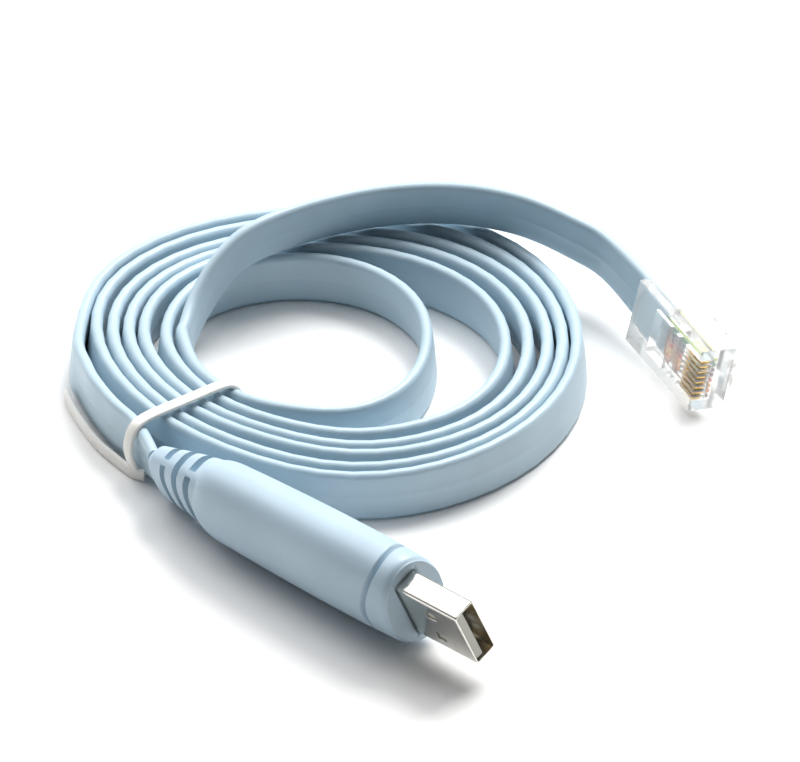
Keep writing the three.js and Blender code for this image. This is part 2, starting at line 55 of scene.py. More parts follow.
def add_camera():
    data = bpy.data.cameras.new("camera")
    data.sensor_width = SENSOR_WIDTH
    data.lens = SENSOR_WIDTH * DISTANCE * PIXELS_PER_MM / PICTURE_WIDTH
    data.clip_start = 0.01
    data.clip_end = 40.0
    camera = bpy.data.objects.new("camera", data)
    bpy.context.scene.collection.objects.link(camera)
    toward = Vector((0, -math.cos(TILT), math.sin(TILT)))
    camera.location = (toward * DISTANCE - ORIGIN) * MM
    camera.rotation_euler = (math.pi / 2 - TILT, 0, 0)
    bpy.context.scene.camera = camera


add_camera()


# Materials

def shader(name, color, roughness, metallic=0.0, **sockets):
    material = bpy.data.materials.new(name)
    material.use_nodes = True
    principled = material.node_tree.nodes["Principled BSDF"]
    principled.inputs["Base Color"].default_value = (*color, 1.0)
    principled.inputs["Roughness"].default_value = roughness
    principled.inputs["Metallic"].default_value = metallic
    for socket, value in sockets.items():
        principled.inputs[socket.replace("_", " ")].default_value = value
    return material, principled


def noise(material, scale, detail=3.0, stretch=(1, 1, 1)):
    nodes, links = material.node_tree.nodes, material.node_tree.links
    place = nodes.new("ShaderNodeTexCoord")
    mapping = nodes.new("ShaderNodeMapping")
    mapping.inputs["Scale"].default_value = stretch
    texture = nodes.new("ShaderNodeTexNoise")
    texture.inputs["Scale"].default_value = scale
    texture.inputs["Detail"].default_value = detail
    links.new(place.outputs["Object"], mapping.inputs["Vector"])
    links.new(mapping.outputs["Vector"], texture.inputs["Vector"])
    return texture.outputs["Fac"]


COLOR_SPAN, ROUGHNESS_SPAN = (0.35, 0.65), (0.3, 0.7)


def vary_color(material, principled, source, low, high):
    ramp = material.node_tree.nodes.new("ShaderNodeValToRGB")
    for element, position, color in zip(ramp.color_ramp.elements, COLOR_SPAN, (low, high)):
        element.position = position
        element.color = (*color, 1.0)
    material.node_tree.links.new(source, ramp.inputs["Fac"])
    material.node_tree.links.new(ramp.outputs["Color"], principled.inputs["Base Color"])


def map_range(tree, source, from_span, to_span):
    """The source's values, spread from one span to another."""
    node = tree.nodes.new("ShaderNodeMapRange")
    for socket, value in zip(("From Min", "From Max", "To Min", "To Max"), (*from_span, *to_span)):
        node.inputs[socket].default_value = value
    tree.links.new(source, node.inputs["Value"])
    return node.outputs["Result"]


def vary_roughness(material, principled, source, low, high):
    rough = map_range(material.node_tree, source, ROUGHNESS_SPAN, (low, high))
    material.node_tree.links.new(rough, principled.inputs["Roughness"])


def add_bump(material, principled, source, distance, strength=0.5):
    bump = material.node_tree.nodes.new("ShaderNodeBump")
    bump.inputs["Distance"].default_value = distance
    bump.inputs["Strength"].default_value = strength
    material.node_tree.links.new(source, bump.inputs["Height"])
    material.node_tree.links.new(bump.outputs["Normal"], principled.inputs["Normal"])


def shade(color, factor):
    return tuple(channel * factor for channel in color)


def moulded(name, color, rough_low, rough_high, patch, grain, depth):
    """Moulded plastic with broad patches of tone and a fine grain, whose depth is in metres."""
    material, principled = shader(name, color, rough_high)
    vary_color(material, principled, noise(material, patch, 4.0), shade(color, 0.95), shade(color, 1.04))
    vary_roughness(material, principled, noise(material, patch * 2.5, 5.0), rough_low, rough_high)
    add_bump(material, principled, noise(material, grain, 2.0), depth)
    return material


JACKET = (0.44, 0.575, 0.665)
HOUSING = (0.435, 0.565, 0.665)
jacket = moulded("jacket", JACKET, 0.36, 0.48, 70.0, 3000.0, 0.000018)
housing_look = moulded("housing", HOUSING, 0.38, 0.50, 60.0, 2600.0, 0.000022)
tie_look = moulded("tie", (0.86, 0.855, 0.82), 0.35, 0.5, 150.0, 2500.0, 0.000015)
insulator = moulded("insulator", (0.56, 0.56, 0.50), 0.45, 0.6, 120.0, 3200.0, 0.00001)


def metal(name, color, rough_low, rough_high, stretch, depth):
    """Bare metal with drawn marks along the stretched axis."""
    material, principled = shader(name, color, rough_high, 1.0)
    vary_color(material, principled, noise(material, 160.0, 4.0), shade(color, 0.92), color)
    vary_roughness(material, principled, noise(material, 900.0, 3.0, stretch), rough_low, rough_high)
    add_bump(material, principled, noise(material, 1500.0, 2.0, stretch), depth, 0.35)
    return material


steel = metal("steel", (0.78, 0.76, 0.71), 0.12, 0.24, (1, 1, 4), 0.000006)
gold = metal("gold", (0.80, 0.55, 0.20), 0.2, 0.34, (1, 1, 1), 0.000004)


CLEAR_TINT, CLEAR_IOR, TRANSMISSION, SHADOW_PASS = (0.98, 0.99, 0.985), 1.42, 0.84, 0.8


def clear_plastic():
    material, principled = shader("clear", CLEAR_TINT, 0.04, IOR=CLEAR_IOR, Transmission_Weight=TRANSMISSION)
    vary_roughness(material, principled, noise(material, 500.0, 3.0), 0.02, 0.09)
    add_bump(material, principled, noise(material, 420.0, 2.0), 0.00003, 0.3)
    # Light that falls through the plastic reaches what lies behind it
    nodes, links = material.node_tree.nodes, material.node_tree.links
    ray = nodes.new("ShaderNodeLightPath")
    passed = nodes.new("ShaderNodeMath")
    passed.operation = "MULTIPLY"
    passed.inputs[1].default_value = SHADOW_PASS
    through = nodes.new("ShaderNodeBsdfTransparent")
    mix = nodes.new("ShaderNodeMixShader")
    links.new(ray.outputs["Is Shadow Ray"], passed.inputs[0])
    links.new(passed.outputs["Value"], mix.inputs["Fac"])
    links.new(principled.outputs["BSDF"], mix.inputs[1])
    links.new(through.outputs["BSDF"], mix.inputs[2])
    links.new(mix.outputs["Shader"], nodes["Material Output"].inputs["Surface"])
    return material


clear = clear_plastic()
WIRES = [(0.33, 0.13, 0.07), (0.80, 0.27, 0.04), (0.85, 0.46, 0.07), (0.62, 0.07, 0.05),
         (0.20, 0.05, 0.07), (0.06, 0.07, 0.09), (0.05, 0.28, 0.12), (0.50, 0.66, 0.10)]
wire_looks = [moulded(f"wire_{i + 1}", color, 0.4, 0.5, 200.0, 3000.0, 0.00001)
              for i, color in enumerate(WIRES)]


# Mesh helpers

def build(name, vertices, faces, material, matrix=None, slot=None, sharp=35.0):
    """A mesh in the part's frame from points in millimetres of the drawing."""
    mesh = bpy.data.meshes.new(name)
    placed = [(matrix @ Vector(v)) if matrix else Vector(v) for v in vertices]
    mesh.from_pydata([(v - ORIGIN) * MM for v in placed], [], faces)
    work = bmesh.new()
    work.from_mesh(mesh)
    bmesh.ops.recalc_face_normals(work, faces=work.faces)
    work.to_mesh(mesh)
    work.free()
    mesh.shade_smooth()
    mesh.set_sharp_from_angle(angle=math.radians(sharp))
    mesh.materials.append(material)
    piece = bpy.data.objects.new(name, mesh)
    bpy.context.scene.collection.objects.link(piece)
    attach(piece, "root")
    return piece


def tube(rings, closed=False):
    """Vertices and faces through rings of equal counts; capped unless closed."""
    count = len(rings[0])
    vertices = [point for ring in rings for point in ring]
    faces = []
    for r in range(len(rings) if closed else len(rings) - 1):
        for i in range(count):
            a, b = r * count + i, r * count + (i + 1) % count
            c, d = ((r + 1) % len(rings)) * count + (i + 1) % count, ((r + 1) % len(rings)) * count + i
            faces.append((a, b, c, d))
    if not closed:
        faces.append(tuple(range(count)))
        faces.append(tuple((len(rings) - 1) * count + i for i in range(count)))
    return vertices, faces


def lerp(a, b, t):
    return a + (b - a) * t


def smooth(t):
    t = min(max(t, 0.0), 1.0)
    return t * t * (3 - 2 * t)


# Lead: where its middle passes, and the direction of its width

LEAD_WIDTH, LEAD_THICK = 9.0, 2.0
# Where each turn passes on its four sides, from the outermost inward.
COIL_LEFT = [-52.4, -50.0, -47.3, -44.7, -42.2, -38.6, -35.6]
COIL_LEFT_Y = [4.0, 3.8, 2.8, 2.4, 2.0, 0.7, -1.1]
COIL_BACK = [38.5, 35.5, 32.0, 29.5, 27.1, 24.1]
COIL_BACK_X = [-8.0, -9.0, -9.5, -11.0, -13.5, -16.2]
COIL_RIGHT = [29.3, 26.9, 24.4, 21.2, 17.5, 4.7]
COIL_RIGHT_Y = [-0.9, -0.8, -0.6, -0.8, -0.9, 1.7]
COIL_FRONT = [-40.0, -37.2, -33.5, -31.0, -27.5, -21.9]
COIL_FRONT_X = [-7.6, -7.8, -8.0, -8.6, -10.3, -15.5]
TURNS = len(COIL_BACK)
# How full the four quarters of a turn are, for the outermost and the innermost turn
FULL_BACK_LEFT = (2.2, 2.15)
FULL_BACK_RIGHT = (2.1, 2.04)
FULL_FRONT_RIGHT = (1.94, 2.28)
FULL_FRONT_LEFT = (1.88, 1.88)
QUARTER = 12
SIDE_LEAN = math.radians(7)
TIE_X, TIE_Y, TIE_ANGLE = -35.6, -22.5, math.radians(37)
TIE_LIFT, LIFT_REACH, LIFT_FULL, LIFT_FADE = 1.1, 30.0, 0.6, 14.0
# Where the arm passes: x, y, how far its lower edge is lifted, and its lean in degrees
ARM_POINTS = [
    (-35.3, 3.2, 0.9, 0), (-34.0, 8.3, 2.2, 2), (-31.8, 12.6, 4.6, 5), (-28.9, 16.3, 7.2, 8),
    (-24.9, 20.0, 9.0, 10), (-18.5, 24.6, 9.3, 11), (-11.0, 28.5, 9.3, 11), (-3.3, 31.1, 9.3, 11),
    (5.0, 32.1, 9.3, 11), (13.0, 31.2, 9.3, 10), (21.0, 28.9, 8.6, 8), (28.3, 25.4, 7.0, 6),
    (34.2, 21.4, 5.4, 3),
]
TAIL_POINTS = [(-51.4, -7.6), (-49.3, -14.6), (-46.3, -20.8), (-42.6, -26.2)]


def plug_matrix(x, y, z, yaw, pitch, roll):
    """A plug's own frame: X along its axis to the nose, turned by the angles in degrees."""
    turn = Euler((math.radians(roll), math.radians(-pitch), math.radians(yaw)), "XYZ")
    return Matrix.Translation((x, y, z)) @ turn.to_matrix().to_4x4()


BODY_LENGTH, BODY_WIDTH, BODY_THICK = 47.4, 18.2, 13.4
RELIEF_LENGTH, RELIEF_DROP = 12.2, 1.6
USB = plug_matrix(2.6, -77.9, 9.6377, -45.6, 2.2, 24)
RJ = plug_matrix(51.1, -9.05, 6.3666, -62.1, -3.8, -11.5)
# How far the lead's middle lies off the clear plug's axis, where the lead enters that plug and
# ends, and where it starts just behind the relief
LEAD_RISE = 0.6
LEAD_IN_CLEAR = (-22.6, -13.3)
LEAD_START = -59.9


def resting_height(x, y):
    """Height of the lead's middle on the floor, with the tie's strip below it near the tie."""
    across = (x - TIE_X) * math.sin(TIE_ANGLE) - (y - TIE_Y) * math.cos(TIE_ANGLE)
    near = max(0.0, 1 - abs(across) / LIFT_REACH)
    fade = smooth((TIE_X + LIFT_REACH - x) / LIFT_FADE) if y < 0 else 0
    return LEAD_WIDTH / 2 + TIE_LIFT * smooth(near / LIFT_FULL) * fade


def quarter(side, end, fullness, side_first):
    """Points and leans of a quarter turn between its side and its back or front end."""
    points = []
    for step in range(QUARTER):
        turn = math.pi / 2 * step / QUARTER
        angle = turn if side_first else math.pi / 2 - turn
        c, s = max(math.cos(angle), 0.0), max(math.sin(angle), 0.0)
        reach = (c ** fullness + s ** fullness) ** (-1 / fullness)
        points.append((end[0] + (side[0] - end[0]) * reach * c,
                       side[1] + (end[1] - side[1]) * reach * s, SIDE_LEAN * c * c))
    return points


# Each pair of passes draws the corners in and then gives the size back
EASING = (0.55, -0.57)
ROUTE_PASSES, STATION_PASSES, LEAN_PASSES = 8, 6, 14


def fair(route):
    """The route with the small corners between its quarters eased, and its size kept."""
    for amount in EASING * ROUTE_PASSES:
        eased = [route[0]]
        for before, here, after in zip(route, route[1:], route[2:]):
            eased.append(tuple(h + amount * ((b + a) / 2 - h)
                               for b, h, a in zip(before, here, after)))
        route = eased + [route[-1]]
    return route


def upright(x, y, z, lean, ahead):
    """A station: the middle's point and the direction of the width, leaning to the right of ahead."""
    side = Vector((ahead[1], -ahead[0], 0)).normalized()
    return Vector((x, y, z)), Vector((0, 0, math.cos(lean))) + side * math.sin(lean)


def coil_stations():
    route = []
    for i in range(TURNS):
        share = i / (TURNS - 1)
        left, right = (COIL_LEFT[i], COIL_LEFT_Y[i]), (COIL_RIGHT[i], COIL_RIGHT_Y[i])
        back, front = (COIL_BACK_X[i], COIL_BACK[i]), (COIL_FRONT_X[i], COIL_FRONT[i])
        after = (COIL_LEFT[i + 1], COIL_LEFT_Y[i + 1])
        route += quarter(left, back, lerp(*FULL_BACK_LEFT, share), True)
        route += quarter(right, back, lerp(*FULL_BACK_RIGHT, share), False)
        route += quarter(right, front, lerp(*FULL_FRONT_RIGHT, share), True)
        route += quarter(after, front, lerp(*FULL_FRONT_LEFT, share), False)
    route.append((COIL_LEFT[-1], COIL_LEFT_Y[-1], SIDE_LEAN))
    route = fair(route)
    stations = []
    for i, (x, y, lean) in enumerate(route):
        a, b = route[max(i - 1, 0)], route[min(i + 1, len(route) - 1)]
        stations.append(upright(x, y, resting_height(x, y), lean, (b[0] - a[0], b[1] - a[1])))
    return stations


def spline(a, b, c, d, t):
    """The smooth curve's value between b and c."""
    return 0.5 * (2 * b + (c - a) * t + (2 * a - 5 * b + 4 * c - d) * t * t
                  + (3 * b - a - 3 * c + d) * t ** 3)


def through(points, steps):
    """A smooth curve through stations of a point and a direction."""
    out = []
    for i in range(len(points) - 1):
        p = [points[max(i - 1, 0)], points[i], points[i + 1], points[min(i + 2, len(points) - 1)]]
        for step in range(steps):
            point, up = (spline(*(q[k] for q in p), step / steps) for k in (0, 1))
            out.append((point, up.normalized()))
    out.append(points[-1])
    return out


def direction(matrix, axis):
    return (matrix.to_3x3() @ Vector(axis)).normalized()


def eased(stations):
    """The stations with their corners and the changes of their lean eased."""
    points, ups = [p for p, _ in stations], [up for _, up in stations]
    for amount in EASING * STATION_PASSES:
        points = [points[0]] + [h + amount * ((b + a) / 2 - h) for b, h, a
                                in zip(points, points[1:], points[2:])] + [points[-1]]
    for _ in range(LEAN_PASSES):
        ups = [ups[0]] + [(b + h * 2 + a).normalized() for b, h, a
                          in zip(ups, ups[1:], ups[2:])] + [ups[-1]]
    return list(zip(points, ups))


# The ends are curved on to a station a little way into the coil, and that last stretch is cut off
JOIN_STEPS, JOIN_REACH = 5, 6


def lead_route():
    """Stations of the whole lead, from the large plug through the coil to the clear plug."""
    coil = coil_stations()
    arm = []
    for i, (x, y, lift, lean) in enumerate(ARM_POINTS):
        a, b = ARM_POINTS[max(i - 1, 0)], ARM_POINTS[min(i + 1, len(ARM_POINTS) - 1)]
        ahead = (b[0] - a[0], b[1] - a[1])
        arm.append(upright(x, y, LEAD_WIDTH / 2 + lift, math.radians(lean), ahead))
    rj_up = direction(RJ, (0, 0, 1))
    arm += [(RJ @ Vector((x, 0, LEAD_RISE)), rj_up) for x in LEAD_IN_CLEAR]
    tail = [(Vector((x, y, resting_height(x, y))), Vector((0, 0, 1))) for x, y in TAIL_POINTS]
    tail.append((USB @ Vector((LEAD_START, 0, -RELIEF_DROP)), direction(USB, (0, 0, 1))))
    tail.reverse()
    start = through(tail + [coil[0], coil[JOIN_REACH]], JOIN_STEPS)[:-JOIN_STEPS - 1]
    end = through([coil[-JOIN_REACH - 1], coil[-1]] + arm, JOIN_STEPS)[JOIN_STEPS + 1:]
    return eased(start + coil + end)


SEAM_HALF, SEAM_FOOT, SEAM_HEIGHT = 0.12, 0.32, 0.05


def lead_section():
    """Points round the lead as (along its width, along its thickness), with a fine seam on each side."""
    half, r = LEAD_WIDTH / 2 - LEAD_THICK / 2, LEAD_THICK / 2
    one = [(-half, r), (-half * 0.5, r), (-SEAM_FOOT, r), (-SEAM_HALF, r + SEAM_HEIGHT),
           (SEAM_HALF, r + SEAM_HEIGHT), (SEAM_FOOT, r), (half * 0.5, r), (half, r)]
    one += [(half + r * math.sin(a), r * math.cos(a)) for a in (math.pi * k / 10 for k in range(1, 10))]
    return one + [(-s, -t) for s, t in one]


def sweep(stations, section):
    """Rings of a section along stations of a point and the direction of the width."""
    points = [p for p, _ in stations]
    rings = []
    for i, (point, up) in enumerate(stations):
        ahead = (points[min(i + 1, len(points) - 1)] - points[max(i - 1, 0)]).normalized()
        up = (up - ahead * up.dot(ahead)).normalized()
        side = ahead.cross(up)
        rings.append([point + up * s + side * t for s, t in section])
    return rings


def add_lead():
    """The lead's piece, its middle line and the length of that, in metres."""
    stations = lead_route()
    piece = build("lead", *tube(sweep(stations, lead_section())), jacket, slot="jacket", sharp=50.0)
    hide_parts("cable_coil", "cable_arm", "cable_tail")
    points = [p for p, _ in stations]
    length = sum((b - a).length for a, b in zip(points, points[1:]))
    return piece, [(p - ORIGIN) * MM for p in points], length * MM


lead, lead_path, lead_length = add_lead()


# Tie

TIE_WIDTH, TIE_THICK, TIE_ROUND = 2.2, 0.8, 0.34
# The band round the turns as (along the tie, height), and the free end on the floor as (x, y)
TIE_LOOP = [(-5.6, 0.45), (-8.2, 0.9), (-9.9, 2.6), (-10.75, 5.2), (-10.75, 7.4), (-9.9, 9.6),
            (-8.3, 10.75), (-5.5, 11.1), (-1.5, 11.1), (3.0, 11.1), (7.4, 11.1), (9.6, 10.7),
            (11.2, 9.2), (12.0, 6.8), (12.0, 3.6), (11.3, 1.4), (9.6, 0.45), (4.5, 0.45), (-0.5, 0.45)]
TIE_FREE = [(-41.6, -29.3), (-43.6, -28.2), (-46.2, -24.8), (-49.3, -20.2), (-51.9, -14.4),
            (-53.8, -9.0), (-54.6, -5.4)]
TIE_FREE_HEIGHT = 1.12
LOOP_STEPS, FREE_STEPS = 5, 6


def rounded_outline(width, height, radius, steps=5):
    """Points round a rectangle with round corners."""
    out = []
    for cx, cy, start in ((1, 1, 0), (-1, 1, 90), (-1, -1, 180), (1, -1, 270)):
        for k in range(steps + 1):
            a = math.radians(start + 90 * k / steps)
            out.append((cx * (width / 2 - radius) + radius * math.cos(a),
                        cy * (height / 2 - radius) + radius * math.sin(a)))
    return out


def add_tie():
    section = rounded_outline(TIE_WIDTH, TIE_THICK, TIE_ROUND, 3)
    along = Vector((math.cos(TIE_ANGLE), math.sin(TIE_ANGLE), 0))
    across = Vector((-along.y, along.x, 0))
    count = len(TIE_LOOP)
    path = []
    for i in range(count):
        corners = [Vector(TIE_LOOP[(i + k) % count]) for k in (-1, 0, 1, 2)]
        path += [spline(*corners, step / LOOP_STEPS) for step in range(LOOP_STEPS)]
    rings = []
    for i, spot in enumerate(path):
        ahead = (path[(i + 1) % len(path)] - path[i - 1]).normalized()
        outward = Vector((ahead.y, -ahead.x))
        middle = Vector((TIE_X, TIE_Y, 0)) + along * spot.x + Vector((0, 0, spot.y))
        normal = along * outward.x + Vector((0, 0, outward.y))
        rings.append([middle + across * s + normal * t for s, t in section])
    vertices, faces = tube(rings, closed=True)
    free = [(Vector((x, y, TIE_FREE_HEIGHT)), Vector((0, 0, 1))) for x, y in TIE_FREE]
    more, extra = tube(sweep(through(free, FREE_STEPS), section))
    faces += [tuple(i + len(vertices) for i in face) for face in extra]
    piece = build("tie", vertices + more, faces, tie_look, slot="tie", sharp=60.0)
    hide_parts("twist_tie")
    return piece


tie = add_tie()


# Large plug

def squircle(width, thick, power, count):
    """Angles and points round an oval in the plug's Y and Z, from the +Y side."""
    out = []
    for i in range(count):
        a = 2 * math.pi * i / count
        c, s = math.cos(a), math.sin(a)
        y = thick / 2 * math.copysign(abs(c) ** (2 / power), c)
        z = width / 2 * math.copysign(abs(s) ** (2 / power), s)
        out.append((a, y, z))
    return out


# The barrel is widest at this distance behind its rim and draws in from there to both ends
WIDEST, FRONT_TAPER, REAR_TAPER, REAR_TAPER_RUN = 12, 0.035, 0.11, 34
REAR_ROUND_RUN, REAR_SCALE, REAR_SHRINK = 5, 0.66, 0.34
RIM_ROUND_RUN, RIM_SHRINK = 0.9, 0.07
BARREL_POWER, BARREL_POINTS = 2.0, 96


def housing_scale(back):
    """How full the barrel is at a distance behind its rim."""
    if back < WIDEST:
        swell = 1 - FRONT_TAPER * ((WIDEST - back) / WIDEST) ** 2
    else:
        swell = 1 - REAR_TAPER * ((back - WIDEST) / REAR_TAPER_RUN) ** 2
    left = BODY_LENGTH - back
    if left < REAR_ROUND_RUN:
        swell *= REAR_SCALE + REAR_SHRINK * math.sqrt(1 - (1 - max(left, 0) / REAR_ROUND_RUN) ** 2)
    return swell


# The groove's distance behind the rim goes twice to and fro on its way round the barrel
GROOVE_AT, GROOVE_WAVE, GROOVE_TURN = 4.75, 1.0, math.radians(100)
GROOVE_HALF, GROOVE_DEEP = 0.42, 0.75


def housing_body():
    """Rings of the barrel from the rim to the relief, with the wavy groove pressed in."""
    backs = [0.0, 0.12, 0.3, 0.6, 1.2, 2.0, 2.8]
    backs += [3.2 + 0.12 * k for k in range(26)]
    backs += [7, 8.5, 10, 12, 14.5, 17, 20, 23, 26, 29, 32, 35, 38, 40.5, 42.2, 43.2, 44, 44.7, 45.3, 45.8,
              46.2, 46.6, 46.9, 47.1, 47.25, 47.35, 47.4]
    rings = []
    for back in backs:
        scale = housing_scale(back)
        round_rim = 1 - RIM_SHRINK * (1 - smooth(back / RIM_ROUND_RUN))
        ring = []
        for a, y, z in squircle(BODY_WIDTH, BODY_THICK, BARREL_POWER, BARREL_POINTS):
            groove = GROOVE_AT - GROOVE_WAVE * math.cos(2 * (a - GROOVE_TURN))
            depth = GROOVE_DEEP * math.exp(-((back - groove) / GROOVE_HALF) ** 4)
            size = scale * round_rim - depth / (BODY_THICK / 2)
            ring.append(Vector((-back, y * size, z * size)))
        rings.append(ring)
    return rings


def add_housing():
    return build("housing", *tube(housing_body()), housing_look, USB, slot="housing", sharp=40.0)


# Sizes where the relief leaves the barrel and at its end, and how deep it is rooted in the barrel
RELIEF_WIDTHS, RELIEF_THICKS, RELIEF_ROOT = (13.6, 11.4), (9.2, 5.2), 2.5
RELIEF_POWER, RELIEF_POINTS, RELIEF_STEP = 2.7, 120, 0.14
RELIEF_END_RUN, RELIEF_END_SHRINK, DROP_POWER = 1.2, 0.12, 1.5
# Slots: distance behind the rim, and the degrees between which a bridge closes them, on both sides
RELIEF_SLOTS = [(48.1, (97, 115)), (51.5, None), (54.9, (97, 119))]
SLOT_HALF, SLOT_EDGE, BRIDGE_EDGE = 0.62, 0.12, 3
SLOT_FLOOR_WIDTH, SLOT_FLOOR_THICK = LEAD_WIDTH + 0.6, LEAD_THICK + 1.0


def slot_depth(back, degrees):
    """0 on the relief's surface and 1 at the floor of a slot."""
    depth = 0.0
    for at, bridge in RELIEF_SLOTS:
        inside = smooth((SLOT_HALF - abs(back - at)) / SLOT_EDGE + 0.5)
        if bridge:
            middle, wide = (bridge[0] + bridge[1]) / 2, (bridge[1] - bridge[0]) / 2
            for opposite in (0, 180):
                inside *= 1 - smooth((wide - abs(degrees - middle - opposite)) / BRIDGE_EDGE + 0.5)
        depth = max(depth, inside)
    return depth


def relief_surface():
    """Rings of the relief, with its slots pressed in down to just above the lead."""
    start, end = BODY_LENGTH - RELIEF_ROOT, BODY_LENGTH + RELIEF_LENGTH
    steps = int((end - start) / RELIEF_STEP)
    rings = []
    for k in range(steps + 1):
        back = start + (end - start) * k / steps
        share = (back - BODY_LENGTH) / RELIEF_LENGTH
        rim = 1 - RELIEF_END_SHRINK * smooth(1 - (end - back) / RELIEF_END_RUN)
        width, thick = lerp(*RELIEF_WIDTHS, share) * rim, lerp(*RELIEF_THICKS, share) * rim
        outer = squircle(width, thick, RELIEF_POWER, RELIEF_POINTS)
        inner = squircle(SLOT_FLOOR_WIDTH, SLOT_FLOOR_THICK, RELIEF_POWER, RELIEF_POINTS)
        drop = RELIEF_DROP * max(share, 0) ** DROP_POWER
        ring = []
        for (a, y1, z1), (_, y0, z0) in zip(outer, inner):
            depth = slot_depth(back, math.degrees(a))
            ring.append(Vector((-back, lerp(y1, y0, depth), lerp(z1, z0, depth) - drop)))
        rings.append(ring)
    return rings


def add_relief():
    return build("relief", *tube(relief_surface()), housing_look, USB, slot="housing", sharp=45.0)


def cut(piece, cutters):
    for cutter in cutters:
        modifier = piece.modifiers.new("cut", "BOOLEAN")
        modifier.operation = "DIFFERENCE"
        modifier.solver = "EXACT"
        modifier.object = cutter
    apply_modifiers(piece)
    for cutter in cutters:
        bpy.data.objects.remove(cutter)


def flatten_normals(piece):
    """Shades the large flat faces as flat, beside the small rounded ones."""
    modifier = piece.modifiers.new("normals", "WEIGHTED_NORMAL")
    modifier.keep_sharp = True
    modifier.weight = 100
    apply_modifiers(piece)


def apply_modifiers(piece):
    bpy.context.view_layer.update()
    evaluated = piece.evaluated_get(bpy.context.evaluated_depsgraph_get())
    mesh = bpy.data.meshes.new_from_object(evaluated)
    piece.modifiers.clear()
    piece.data = mesh


def bevel(piece, width, segments=2, limit=50):
    modifier = piece.modifiers.new("bevel", "BEVEL")
    modifier.width = width * MM
    modifier.segments = segments
    modifier.limit_method = "ANGLE"
    modifier.angle_limit = math.radians(limit)
    apply_modifiers(piece)


def prism(name, outline, x0, x1, material, matrix, edge=0.0, segments=2, slot=None):
    """A solid of an outline in a plug's Y and Z, from x0 to x1 along its axis."""
    rings = [[Vector((x, y, z)) for y, z in outline] for x in (x0, x1)]
    piece = build(name, *tube(rings), material, matrix, slot)
    if edge:
        bevel(piece, edge, segments)
    return piece


def block(name, along, thick, wide, material, matrix, edge=0.0, segments=2, slot=None):
    """A box in a plug's frame, from spans along its X, Y and Z."""
    (x0, x1), (y0, y1), (z0, z1) = along, thick, wide
    return prism(name, [(y0, z0), (y1, z0), (y1, z1), (y0, z1)], x0, x1, material, matrix, edge,
                 segments, slot)


def around(middle, half):
    return middle - half, middle + half


SHELL_LENGTH, SHELL_WIDTH, SHELL_HEIGHT, SHELL_WALL = 13.6, 12.0, 4.5, 0.3
SHELL_ROOT, SHELL_ROUND, MOUTH_CHAMFER, MOUTH_LIP = -3.0, 0.62, 0.12, 0.02
SEAT_FLOOR, SEAT_GAP, SEAT_ROUND = -4.9, 0.5, 0.8
WINDOW_SPAN, WINDOW_MIDDLES, WINDOW_HALF = (5.6, 7.7), (-2.9, 2.6), 1.0
WINDOW_OUTER, WINDOW_INNER = 3, 1.6
# Heights above the inside of the shell's near wall
TONGUE_RISE, CONTACT_RISE = (0.05, 1.75), (1.72, 1.95)
TONGUE_BACK, TONGUE_HALF, TONGUE_EDGE = 0.4, 5.35, 0.18
CONTACT_SPAN, CONTACT_PITCH, CONTACT_HALF = (4.0, SHELL_LENGTH - 1.4), 2.25, 0.5
CONTACT_EDGE = 0.08


def add_shell():
    outer = rounded_outline(SHELL_HEIGHT, SHELL_WIDTH, SHELL_ROUND, 6)
    inner = rounded_outline(SHELL_HEIGHT - 2 * SHELL_WALL, SHELL_WIDTH - 2 * SHELL_WALL,
                            SHELL_ROUND - SHELL_WALL, 6)
    stations = [(SHELL_ROOT, 0.0), (SHELL_LENGTH - MOUTH_CHAMFER, 0.0), (SHELL_LENGTH, MOUTH_CHAMFER)]
    rings = [[Vector((x, y * (1 - d / 3), z * (1 - d / 8))) for y, z in outer] for x, d in stations]
    rings += [[Vector((x, y, z)) for y, z in inner] for x in (SHELL_LENGTH - MOUTH_LIP, SHELL_ROOT)]
    shell = build("shell", *tube(rings, closed=True), steel, USB, slot="steel", sharp=30.0)
    cut(shell, [block("window", WINDOW_SPAN, (side * WINDOW_OUTER, side * WINDOW_INNER),
                      around(z, WINDOW_HALF), steel, USB)
                for side in (-1, 1) for z in WINDOW_MIDDLES])
    flatten_normals(shell)
    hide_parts("usb_shell")


def add_usb():
    body = add_housing()
    add_relief()
    seat = rounded_outline(SHELL_HEIGHT + SEAT_GAP, SHELL_WIDTH + SEAT_GAP, SEAT_ROUND)
    cut(body, [prism("seat", seat, SEAT_FLOOR, 1, housing_look, USB)])
    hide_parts("usb_housing")
    add_shell()
    near = -SHELL_HEIGHT / 2 + SHELL_WALL
    tongue_rise, contact_rise = ([near + rise for rise in span] for span in (TONGUE_RISE, CONTACT_RISE))
    tongue = block("tongue", (SHELL_ROOT, SHELL_LENGTH - TONGUE_BACK), tongue_rise,
                   around(0, TONGUE_HALF), insulator, USB, TONGUE_EDGE, 3, "insulator")
    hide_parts("usb_tongue")
    for i in range(4):
        contact = block(f"contact_{i + 1}", CONTACT_SPAN, contact_rise,
                        around((i - 1.5) * CONTACT_PITCH, CONTACT_HALF), gold, USB, CONTACT_EDGE, 2, "gold")
        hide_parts(f"usb_contact_{i + 1}")


add_usb()


# Small plug

